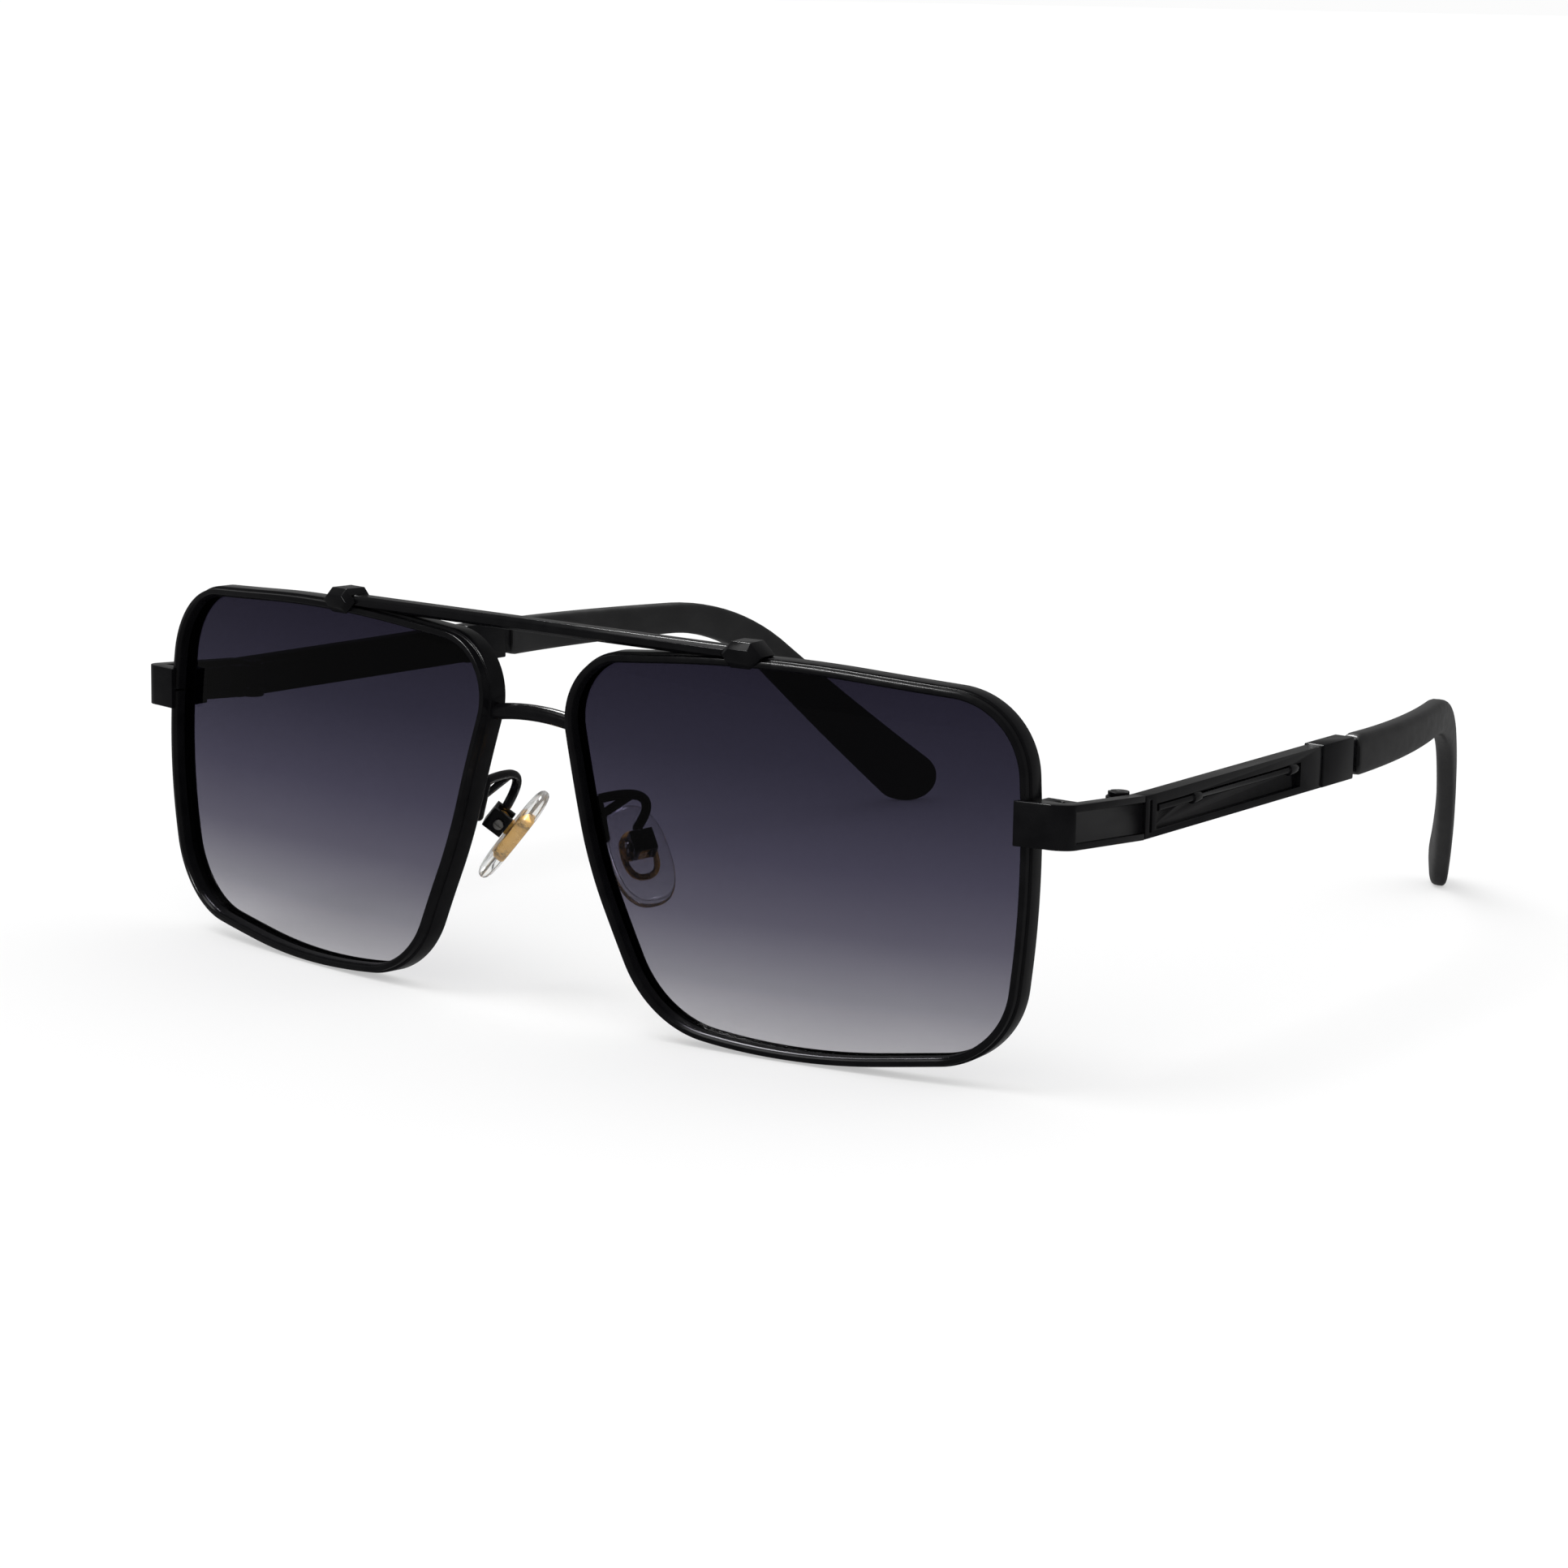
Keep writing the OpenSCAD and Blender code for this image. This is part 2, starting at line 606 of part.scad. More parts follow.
module pad_outline(l, w, n = 48) {
  polygon([for (i = [0:n - 1]) let (a = 360 * i / n)
    [w / 2 * sign(cos(a)) * pow(abs(cos(a)), 0.8), l / 2 * sign(sin(a)) * pow(abs(sin(a)), 0.8)]]);
}
module pad_slab(l, w, from, to) {
  translate([from, 0, 0]) rotate([90, 0, 90]) linear_extrude(to - from) pad_outline(l, w);
}
insert_l = pad_l - 7;
insert_w = pad_w - 3.2;
insert_t = 0.6;
insert_band = 0.7;
// The stem between the insert and its lug, grown on every side where it is a cut
module stem(grow) {
  translate([0, -lug_w / 2 - grow, pad_pivot.z - lug_r * 0.8 - grow])
    cube([pad_pivot.x, lug_w + 2 * grow, 1.6 * lug_r + 2 * grow]);
}
module nose_pad() {
  color([0.9, 0.92, 0.93, 0.5]) on_pad() difference() {
    pad_slab(pad_l, pad_w, pad_face, -pad_face);
    pad_slab(insert_l + 2 * joint_gap, insert_w + 2 * joint_gap, -insert_t / 2 - joint_gap,
             insert_t / 2 + joint_gap);
    stem(joint_gap);
  }
}
module pad_insert() {
  color([0.8, 0.55, 0.15]) on_pad() difference() {
    union() {
      difference() {
        pad_slab(insert_l, insert_w, -insert_t / 2, insert_t / 2);
        pad_slab(insert_l - 2 * insert_band, insert_w - 2 * insert_band, -1, 1);
      }
      translate([-insert_t / 2, -insert_w / 2 + 0.3, pad_pivot.z - lug_r * 0.8])
        cube([insert_t, insert_w - 0.6, 1.6 * lug_r]);
      stem(0);
      pad_pin(lug_r, -lug_w / 2, lug_w / 2);
    }
    pad_pin(pad_pin_r + pin_gap, -far, far);
  }
}

// ================= the assembly =================
place() rim();  // rim_left
place() other_side() rim();  // rim_right
place() lens();  // lens_left
place() other_side() lens();  // lens_right
place() brow_bar();
place() brow_clamp();  // brow_clamp_left
place() other_side() brow_clamp();  // brow_clamp_right
place() bridge();
place() endpiece();  // endpiece_left
place() other_side() endpiece();  // endpiece_right
place() lock_half(1);  // rim_lock_upper_left
place() other_side() lock_half(1);  // rim_lock_upper_right
place() lock_half(-1);  // rim_lock_lower_left
place() other_side() lock_half(-1);  // rim_lock_lower_right
place() rim_lock_screw();  // rim_lock_screw_left
place() other_side() rim_lock_screw();  // rim_lock_screw_right
place() front_hinge();  // front_hinge_left
place() other_side() front_hinge();  // front_hinge_right
place() hinge_screw();  // hinge_screw_left
place() other_side() hinge_screw();  // hinge_screw_right
place() temple_hinge();  // temple_hinge_left
place() other_side() temple_hinge();  // temple_hinge_right
place() temple_arm();  // temple_arm_left
place() other_side() temple_arm();  // temple_arm_right
place() accent_rod();  // accent_rod_left
place() other_side() accent_rod();  // accent_rod_right
place() temple_sleeve();  // temple_sleeve_left
place() other_side() temple_sleeve();  // temple_sleeve_right
place() core_wire();  // core_wire_left
place() other_side() core_wire();  // core_wire_right
place() temple_tip();  // temple_tip_left
place() other_side() temple_tip();  // temple_tip_right
place() pad_arm();  // pad_arm_left
place() other_side() pad_arm();  // pad_arm_right
place() pad_box();  // pad_box_left
place() other_side() pad_box();  // pad_box_right
place() pad_screw();  // pad_screw_left
place() other_side() pad_screw();  // pad_screw_right
place() nose_pad();  // nose_pad_left
place() other_side() nose_pad();  // nose_pad_right
place() pad_insert();  // pad_insert_left
place() other_side() pad_insert();  // pad_insert_right
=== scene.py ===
# Square double-bridge aviator sunglasses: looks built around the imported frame.
import bpy
import json
import math
from mathutils import Euler, Matrix, Vector

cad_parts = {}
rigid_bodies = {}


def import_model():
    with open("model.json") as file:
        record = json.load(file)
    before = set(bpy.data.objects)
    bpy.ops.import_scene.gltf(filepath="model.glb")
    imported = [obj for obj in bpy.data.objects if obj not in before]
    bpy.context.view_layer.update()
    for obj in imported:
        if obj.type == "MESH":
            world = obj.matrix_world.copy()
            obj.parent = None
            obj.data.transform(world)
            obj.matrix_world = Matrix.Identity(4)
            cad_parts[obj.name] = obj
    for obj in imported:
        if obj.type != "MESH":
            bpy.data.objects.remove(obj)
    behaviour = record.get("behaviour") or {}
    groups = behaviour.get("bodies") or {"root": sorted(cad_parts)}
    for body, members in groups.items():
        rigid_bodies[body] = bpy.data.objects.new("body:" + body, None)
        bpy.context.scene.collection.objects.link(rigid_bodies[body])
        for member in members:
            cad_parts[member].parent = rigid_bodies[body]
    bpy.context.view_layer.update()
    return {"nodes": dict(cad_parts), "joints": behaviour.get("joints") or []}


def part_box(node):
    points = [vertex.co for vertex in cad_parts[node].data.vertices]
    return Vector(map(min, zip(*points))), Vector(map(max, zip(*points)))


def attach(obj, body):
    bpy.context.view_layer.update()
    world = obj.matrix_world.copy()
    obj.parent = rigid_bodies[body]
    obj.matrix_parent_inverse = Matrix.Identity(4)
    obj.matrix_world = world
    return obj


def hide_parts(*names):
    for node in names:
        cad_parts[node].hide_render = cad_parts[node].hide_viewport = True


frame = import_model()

mm = 0.001
weld = 0.002 * mm  # points of a copied solid closer than this are one
gridWeld = 0.0015 * mm  # the same for a pulled grid
sides = {"left": 1, "right": -1}  # the wearer's left is +X
print("stage: frame loaded")

# A corner of a lens outline is [share of width, share of height, radius]
front = {
    "lensWidth": 60 * mm, "lensHeight": 45 * mm, "noseGap": 15.4 * mm,
    "wrap": math.radians(7), "sphere": 190 * mm,
    "corners": [(0.545, 0.004, 100), (0.517, 0.451, 14), (-0.023, 0.5, 164), (-0.493, 0.444, 7),
                (-0.392, -0.076, 57), (-0.255, -0.473, 17), (0.057, -0.518, 99), (0.502, -0.44, 12)],
    "edgeShare": (0.58, 0.39), "arcStep": 0.55 * mm,
}


# ---- small helpers used by every piece
def deselectAll():
    if bpy.context.object and bpy.context.object.mode != "OBJECT":
        bpy.ops.object.mode_set(mode="OBJECT")
    bpy.ops.object.select_all(action="DESELECT")


def pick(piece):
    deselectAll()
    piece.select_set(True)
    bpy.context.view_layer.objects.active = piece


def applyModifiers(piece):
    pick(piece)
    for modifier in list(piece.modifiers):
        bpy.ops.object.modifier_apply(modifier=modifier.name)


def editAll(piece):
    pick(piece)
    bpy.ops.object.mode_set(mode="EDIT")
    bpy.ops.mesh.select_all(action="SELECT")


def smoothBy(piece, degrees):
    pick(piece)
    bpy.ops.object.shade_smooth_by_angle(angle=math.radians(degrees))


def wear(piece, material, body):
    # finish of a piece: its material and the body it rides on
    piece.data.materials.clear()
    piece.data.materials.append(material)
    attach(piece, body)


# A flat grid pulled onto rows of points, then closed where its edges meet
def pulledGrid(name, rows, smooth=35):
    deselectAll()
    across, along = len(rows[0]), len(rows)
    bpy.ops.mesh.primitive_grid_add(x_subdivisions=across - 1, y_subdivisions=along - 1, size=1)
    piece = bpy.context.object
    piece.name = name
    piece.data.name = name
    for j, row in enumerate(rows):
        for i, point in enumerate(row):
            piece.data.vertices[j * across + i].co = point
    editAll(piece)
    bpy.ops.mesh.remove_doubles(threshold=gridWeld)
    bpy.ops.mesh.select_all(action="SELECT")
    bpy.ops.mesh.normals_make_consistent(inside=False)
    bpy.ops.object.mode_set(mode="OBJECT")
    smoothBy(piece, smooth)
    return piece


# A copy of a machined piece with its sharp edges broken by a small bevel
def brokenEdges(node, name, width, segments=2, smooth=32):
    pick(frame["nodes"][node])
    bpy.ops.object.duplicate()
    piece = bpy.context.object
    bpy.ops.object.parent_clear(type="CLEAR_KEEP_TRANSFORM")
    for key in list(piece.keys()):
        del piece[key]
    piece.name = name
    piece.data.name = name
    editAll(piece)
    bpy.ops.mesh.remove_doubles(threshold=weld)
    bpy.ops.mesh.select_all(action="SELECT")
    bpy.ops.mesh.dissolve_limited(angle_limit=math.radians(0.8))
    bpy.ops.object.mode_set(mode="OBJECT")
    if width:
        bevel = piece.modifiers.new("edges", "BEVEL")
        bevel.width = width
        bevel.segments = segments
        bevel.limit_method = "ANGLE"
        bevel.angle_limit = math.radians(30)
        bevel.use_clamp_overlap = True
        applyModifiers(piece)
    smoothBy(piece, smooth)
    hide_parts(node)
    return piece


# ---- the lens outline, seen from the front: across to the temple, and up
def cornerPoint(i):
    share = front["corners"][i % len(front["corners"])]
    return Vector((share[0] * front["lensWidth"], share[1] * front["lensHeight"]))


def cornerArc(i):
    here, before, after = cornerPoint(i), cornerPoint(i - 1), cornerPoint(i + 1)
    back, ahead = (before - here), (after - here)
    half = back.angle(ahead) / 2
    limit = front["edgeShare"][i % 2] * min(back.length, ahead.length) * math.tan(half)
    radius = min(front["corners"][i][2] * mm, limit)
    back.normalize()
    ahead.normalize()
    centre = here + (back + ahead).normalized() * radius / math.sin(half)
    start = math.atan2(back.x, -back.y)
    return centre, radius, start, math.pi - 2 * half


# Points along the outline, each with the way outwards there
def outlinePoints():
    points = []
    for i in range(len(front["corners"])):
        centre, radius, start, turn = cornerArc(i)
        steps = max(8, math.ceil(radius * turn / front["arcStep"]))
        for k in range(steps + 1):
            angle = start + turn * k / steps
            out = Vector((math.cos(angle), math.sin(angle)))
            points.append((centre + out * radius, out))
    full = []
    for i, (point, out) in enumerate(points):
        full.append((point, out))
        following, outFollowing = points[(i + 1) % len(points)]
        gap = (following - point).length
        pieces = math.floor(gap / (1.6 * mm))
        for k in range(1, pieces):
            t = k / pieces
            full.append((point.lerp(following, t), out.lerp(outFollowing, t).normalized()))
    return full


outline = outlinePoints()
lowest = min(point.y for point, out in outline)
lensX = front["noseGap"] / 2 - math.cos(front["wrap"]) * min(point.x for point, out in outline)
rimEdge = 1.25 * mm
lensZ = rimEdge - lowest


def bulge(u, v):
    return front["sphere"] - math.sqrt(front["sphere"] ** 2 - u * u - v * v)


def rawFront(u, v, depth):
    y = bulge(u, v) + depth
    turnCos, turnSin = math.cos(front["wrap"]), math.sin(front["wrap"])
    return Vector((lensX + u * turnCos - y * turnSin, u * turnSin + y * turnCos, lensZ + v))


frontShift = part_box("rim_left")[0].y - min(rawFront(p.x, p.y, 0).y for p, out in outline)


# A place on the front: across and up the lens, and depth behind the rim's front
def frontPoint(u, v, depth, side):
    point = rawFront(u, v, depth)
    return Vector((side * point.x, point.y + frontShift, point.z))


# ---- materials
def newMaterial(name):
    material = bpy.data.materials.new(name)
    material.use_nodes = True
    return material, material.node_tree.nodes, material.node_tree.links


def put(nodes, kind, **values):
    node = nodes.new(kind)
    for key, value in values.items():
        if key in node.inputs:
            node.inputs[key].default_value = value
        else:
            setattr(node, key, value)
    return node


# Fine noise on the piece's own coordinates, mapped between two values
def noiseRange(nodes, links, scale, low, high, detail=3.0, stretch=(1, 1, 1)):
    where = put(nodes, "ShaderNodeTexCoord")
    mapping = put(nodes, "ShaderNodeMapping", Scale=stretch)
    noise = put(nodes, "ShaderNodeTexNoise", Scale=scale, Detail=detail)
    spread = nodes.new("ShaderNodeMapRange")
    spread.inputs["From Min"].default_value = 0.3
    spread.inputs["From Max"].default_value = 0.7
    spread.inputs["To Min"].default_value = low
    spread.inputs["To Max"].default_value = high
    links.new(where.outputs["Object"], mapping.inputs["Vector"])
    links.new(mapping.outputs["Vector"], noise.inputs["Vector"])
    links.new(noise.outputs["Fac"], spread.inputs["Value"])
    return spread.outputs["Result"]


def twoColours(nodes, links, factor, first, second):
    ramp = nodes.new("ShaderNodeValToRGB")
    ramp.color_ramp.elements[0].color = (*first, 1)
    ramp.color_ramp.elements[1].color = (*second, 1)
    links.new(factor, ramp.inputs["Fac"])
    return ramp.outputs["Color"]


def bumped(nodes, links, shader, height, distance, strength):
    bump = put(nodes, "ShaderNodeBump", Distance=distance, Strength=strength)
    links.new(height, bump.inputs["Height"])
    links.new(bump.outputs["Normal"], shader.inputs["Normal"])


finishes = {
    "satinBlack": {"dark": (0.0022, 0.0022, 0.0027), "light": (0.0042, 0.0042, 0.0048),
                   "rough": (0.15, 0.21), "specular": 0.14, "coat": 0.0},
    "glossBlack": {"dark": (0.0025, 0.0025, 0.003), "light": (0.0045, 0.0045, 0.005),
                   "rough": (0.1, 0.15), "specular": 0.35, "coat": 0.1},
}


# Plated black metal: faint mottling, fine orange peel and hairline rubbing along the piece
def platedBlack(name):
    look = finishes[name]
    material, nodes, links = newMaterial(name)
    shader = nodes["Principled BSDF"]
    shader.inputs["Specular IOR Level"].default_value = look["specular"]
    shader.inputs["Coat Weight"].default_value = look["coat"]
    shader.inputs["Coat Roughness"].default_value = 0.12
    mottle = noiseRange(nodes, links, 420, 0.0, 1.0, detail=5)
    links.new(twoColours(nodes, links, mottle, look["dark"], look["light"]), shader.inputs["Base Color"])
    rub = noiseRange(nodes, links, 900, *look["rough"], detail=6, stretch=(1, 0.25, 1))
    links.new(rub, shader.inputs["Roughness"])
    bumped(nodes, links, shader, noiseRange(nodes, links, 9000, 0.0, 1.0), 0.000003, 0.15)
    return material


def brushedSteel(name, colour, grain):
    material, nodes, links = newMaterial(name)
    shader = nodes["Principled BSDF"]
    shader.inputs["Metallic"].default_value = 1.0
    streak = noiseRange(nodes, links, grain, 0.0, 1.0, detail=4, stretch=(1, 1, 0.08))
    darker = tuple(0.78 * c for c in colour)
    links.new(twoColours(nodes, links, streak, darker, colour), shader.inputs["Base Color"])
    links.new(noiseRange(nodes, links, grain, 0.2, 0.38, detail=4, stretch=(1, 1, 0.08)),
              shader.inputs["Roughness"])
    bumped(nodes, links, shader, streak, 0.00001, 0.3)
    return material


# Smooth black plastic with a fine moulded grain and slight polishing marks
def tipPlastic():
    material, nodes, links = newMaterial("tipPlastic")
    shader = nodes["Principled BSDF"]
    shader.inputs["Specular IOR Level"].default_value = 0.34
    shade = noiseRange(nodes, links, 260, 0.0, 1.0, detail=4)
    links.new(twoColours(nodes, links, shade, (0.011, 0.011, 0.0115), (0.016, 0.016, 0.0165)),
              shader.inputs["Base Color"])
    links.new(noiseRange(nodes, links, 700, 0.3, 0.37, detail=6), shader.inputs["Roughness"])
    bumped(nodes, links, shader, noiseRange(nodes, links, 9000, 0.0, 1.0, detail=2), 0.000004, 0.15)
    return material


def clearPlastic():
    material, nodes, links = newMaterial("padPlastic")
    shader = nodes["Principled BSDF"]
    shader.inputs["Base Color"].default_value = (0.93, 0.94, 0.93, 1)
    shader.inputs["Transmission Weight"].default_value = 0.92
    shader.inputs["IOR"].default_value = 1.42
    links.new(noiseRange(nodes, links, 1100, 0.06, 0.16, detail=4), shader.inputs["Roughness"])
    bumped(nodes, links, shader, noiseRange(nodes, links, 800, 0.0, 1.0), 0.00003, 0.2)
    return material


lensTint = {
    "stops": [(0.0, (0.75, 0.745, 0.76)), (0.16, (0.485, 0.48, 0.512)), (0.33, (0.318, 0.31, 0.36)),
              (0.5, (0.236, 0.228, 0.284)), (0.75, (0.156, 0.15, 0.197)), (1.0, (0.112, 0.105, 0.145))],
    "faceGloss": 0.015, "edgeGloss": 0.4, "haze": 0.02,
}


# Tinted lens: the tint thins out from the brow to the cheek, under a faint coating
def smokeLens():
    material, nodes, links = newMaterial("smokeLens")
    nodes.remove(nodes["Principled BSDF"])
    where = put(nodes, "ShaderNodeTexCoord")
    split = put(nodes, "ShaderNodeSeparateXYZ")
    level = nodes.new("ShaderNodeMapRange")
    level.inputs["From Min"].default_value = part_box("lens_left")[0].z
    level.inputs["From Max"].default_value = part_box("lens_left")[1].z
    wobble = noiseRange(nodes, links, 60, -0.006, 0.006)
    add = put(nodes, "ShaderNodeMath", operation="ADD")
    ramp = nodes.new("ShaderNodeValToRGB")
    ramp.color_ramp.elements[0].color = (*lensTint["stops"][0][1], 1)
    ramp.color_ramp.elements[1].color = (*lensTint["stops"][-1][1], 1)
    for height, colour in lensTint["stops"][1:-1]:
        stop = ramp.color_ramp.elements.new(height)
        stop.color = (*colour, 1)
    links.new(where.outputs["Object"], split.inputs["Vector"])
    links.new(split.outputs["Z"], level.inputs["Value"])
    links.new(level.outputs["Result"], add.inputs[0])
    links.new(wobble, add.inputs[1])
    links.new(add.outputs["Value"], ramp.inputs["Fac"])
    clear = put(nodes, "ShaderNodeBsdfTransparent")
    gloss = put(nodes, "ShaderNodeBsdfAnisotropic", Roughness=lensTint["haze"])
    slant = put(nodes, "ShaderNodeLayerWeight", Blend=0.5)
    grazing = put(nodes, "ShaderNodeMath", operation="POWER")
    grazing.inputs[1].default_value = 5
    film = put(nodes, "ShaderNodeMath", operation="MULTIPLY_ADD")
    film.inputs[1].default_value = lensTint["edgeGloss"]
    film.inputs[2].default_value = lensTint["faceGloss"]
    mix = put(nodes, "ShaderNodeMixShader")
    links.new(ramp.outputs["Color"], clear.inputs["Color"])
    links.new(slant.outputs["Facing"], grazing.inputs[0])
    links.new(grazing.outputs["Value"], film.inputs[0])
    links.new(film.outputs["Value"], mix.inputs["Fac"])
    links.new(clear.outputs["BSDF"], mix.inputs[1])
    links.new(gloss.outputs["BSDF"], mix.inputs[2])
    links.new(mix.outputs["Shader"], nodes["Material Output"].inputs["Surface"])
    return material


satinBlack = platedBlack("satinBlack")
glossBlack = platedBlack("glossBlack")
screwSteel = brushedSteel("screwSteel", (0.62, 0.61, 0.58), 2200)
padSteel = brushedSteel("padSteel", (0.34, 0.33, 0.31), 2200)
coreSteel = brushedSteel("coreSteel", (0.55, 0.55, 0.55), 1500)
giltMetal = brushedSteel("giltMetal", (0.62, 0.36, 0.1), 1800)
tipBlack = tipPlastic()
padClear = clearPlastic()
smoke = smokeLens()
print("stage: materials")

# ---- rims: a formed wire whose section has a flat bevelled lip, a step and a side wall
rimSection = {  # outwards from the lens opening and back from the front, in millimetres
    "points": [(0.1, 0.34), (0.3, 0.05), (0.37, 0.0), (0.84, 0.0), (0.92, 0.03), (0.95, 0.11),
               (0.95, 0.88), (0.98, 0.97), (1.06, 1.0), (1.17, 1.0), (1.23, 1.03), (1.25, 1.11),
               (1.25, 3.24), (1.22, 3.35), (1.12, 3.4), (0.14, 3.4), (0.04, 3.36), (0.0, 3.26),
               (0.0, 3.04), (0.45, 3.03), (0.45, 1.67), (0.0, 1.66), (0.0, 0.72), (0.02, 0.6)],
    "slitDepth": 8 * mm, "slitMiddle": 5 * mm, "smooth": 24,
}


def makeRim(sideName):
    side = sides[sideName]
    rows = []
    for point, out in outline + outline[:1]:
        row = []
        for grow, depth in rimSection["points"] + rimSection["points"][:1]:
            place = point + out * grow * mm
            row.append(frontPoint(place.x, place.y, depth * mm, side))
        rows.append(row)
    rim = pulledGrid("rim_" + sideName + "_wire", rows, smooth=rimSection["smooth"])
    low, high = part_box("endpiece_" + sideName)
    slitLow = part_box("rim_lock_lower_" + sideName)[1].z
    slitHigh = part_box("rim_lock_upper_" + sideName)[0].z
    deselectAll()
    bpy.ops.mesh.primitive_cube_add(size=1)
    cutter = bpy.context.object
    cutter.scale = (high.x - low.x, rimSection["slitDepth"], slitHigh - slitLow)
    cutter.location = (low.x + high.x) / 2, low.y + rimSection["slitMiddle"], (slitLow + slitHigh) / 2
    slit = rim.modifiers.new("slit", "BOOLEAN")
    slit.object = cutter
    slit.operation = "DIFFERENCE"
    slit.solver = "EXACT"
    applyModifiers(rim)
    bpy.data.objects.remove(cutter)
    smoothBy(rim, rimSection["smooth"])
    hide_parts("rim_" + sideName)
    wear(rim, satinBlack, "front")
    return rim


# ---- lenses: a spherical shell with a thin edge that sits in the rim's groove
lensShape = {"grow": 0.43 * mm, "front": 1.7 * mm, "back": 3.0 * mm, "edge": 0.1 * mm, "rings": 14}


def makeLens(sideName):
    side = sides[sideName]
    edge = lensShape["edge"]
    shares = [k / lensShape["rings"] for k in range(lensShape["rings"])]
    rims = [(share, 0, lensShape["front"]) for share in shares]
    rims += [(1, -edge, lensShape["front"]), (1, 0, lensShape["front"] + edge)]
    rims += [(1, 0, lensShape["back"] - edge), (1, -edge, lensShape["back"])]
    rims += [(share, 0, lensShape["back"]) for share in reversed(shares)]
    rows = []
    for share, extra, depth in rims:
        row = []
        for point, out in outline + outline[:1]:
            place = (point + out * (lensShape["grow"] + extra)) * share
            row.append(frontPoint(place.x, place.y, depth, side))
        rows.append(row)
    lens = pulledGrid("lens_" + sideName + "_tinted", rows, smooth=30)
    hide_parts("lens_" + sideName)
    wear(lens, smoke, "front")
    return lens


for sideName in sides:
    makeRim(sideName)
    makeLens(sideName)
print("stage: rims and lenses")

# ---- bar, clamps, bridge, endpieces and hinges keep their machined form, edges broken
brokenWidths = {  # bevel of each piece in millimetres, then its material, body and slot
    "brow_bar": (0.16, satinBlack, "front", "black_metal"),
    "bridge": (0.0, satinBlack, "front", "black_metal"),
    "brow_clamp": (0.12, satinBlack, "front", "black_metal"),
    "endpiece": (0.16, satinBlack, "front", "black_metal"),
    "rim_lock_upper": (0.12, satinBlack, "front", "black_metal"),
    "rim_lock_lower": (0.12, satinBlack, "front", "black_metal"),
    "rim_lock_screw": (0.08, screwSteel, "front", "screw_steel"),
    "front_hinge": (0.12, satinBlack, "front", "black_metal"),
    "hinge_screw": (0.08, satinBlack, "front", "black_metal"),
    "pad_box": (0.5, satinBlack, "front", "black_metal"),
    "pad_screw": (0.06, padSteel, "front", "screw_steel"),
    "temple_hinge": (0.12, satinBlack, "temple", "black_metal"),
    "temple_arm": (0.16, satinBlack, "temple", "black_metal"),
    "accent_rod": (0.1, glossBlack, "temple", "gloss_black_metal"),
    "temple_sleeve": (0.2, satinBlack, "temple", "black_metal"),
    "pad_insert": (0.05, giltMetal, "pad", "gold_insert"),
}
for base, (width, material, body, slot) in brokenWidths.items():
    paired = [base + "_" + s for s in sides] if base + "_left" in frame["nodes"] else [base]
    for node in paired:
        sideName = node.rsplit("_", 1)[-1]
        piece = brokenEdges(node, node + "_finished", width * mm)
        wear(piece, material, body if body == "front" else body + "_" + sideName)
print("stage: metalwork")

# ---- temple tips: a plastic paddle that follows the temple's bend
temple = {
    "bend": 82.5, "radius": 24, "angle": 45, "lean": 0.038, "bow": 0.0045, "bowFrom": 51.5,
    "start": 52, "thick": 3.0, "proud": 0.3, "endWidth": 7.6,
    "heights": [(52, 4.7), (53.2, 5.3), (82.5, 4.5), (101.35, 5.0)], "section": 28,
    # the blunt front end: distance along, then share of the height and of the thickness
    "bluntEnd": [(0.0, 0.0, 0.0), (0.0, 0.6, 0.8), (0.0, 0.9, 0.93), (0.15, 0.98, 0.99), (0.4, 1.0, 1.0)],
    "firstStep": 1.2, "step": 1.5, "roundSteps": 12, "edgePower": 0.35,
    "squareUp": 0.6, "squareOver": 0.55,
}
hingeJoint = next(j for j in frame["joints"] if j["name"] == "fold_left")
seamY = hingeJoint["pos_m"][1] / mm
templeZ = hingeJoint["pos_m"][2] / mm
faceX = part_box("endpiece_left")[1].x / mm
bendTurn = math.radians(temple["angle"])
bendLength = temple["radius"] * bendTurn
dropZ = templeZ - temple["radius"] * (1 - math.cos(bendTurn))
templeLength = temple["bend"] + bendLength + (dropZ - temple["endWidth"] / 2) / math.sin(bendTurn)


def templePlace(s):
    turn = min(bendTurn, max(0, s - temple["bend"]) / temple["radius"])
    rest = max(0, s - temple["bend"] - bendLength)
    y = seamY + min(s, temple["bend"]) + temple["radius"] * math.sin(turn) + rest * math.cos(turn)
    z = templeZ - temple["radius"] * (1 - math.cos(turn)) - rest * math.sin(turn)
    return y, z, turn


def templeFace(y):
    bowed = max(0, y - seamY - temple["bowFrom"])
    return faceX - temple["lean"] * (y - seamY) - temple["bow"] * bowed * bowed


def tipHeight(s):
    stops = temple["heights"] + [(templeLength, temple["endWidth"])]
    for (a, low), (b, high) in zip(stops, stops[1:]):
        if s <= b:
            t = max(0, s - a) / (b - a)
            return low + (high - low) * t
    return temple["endWidth"]


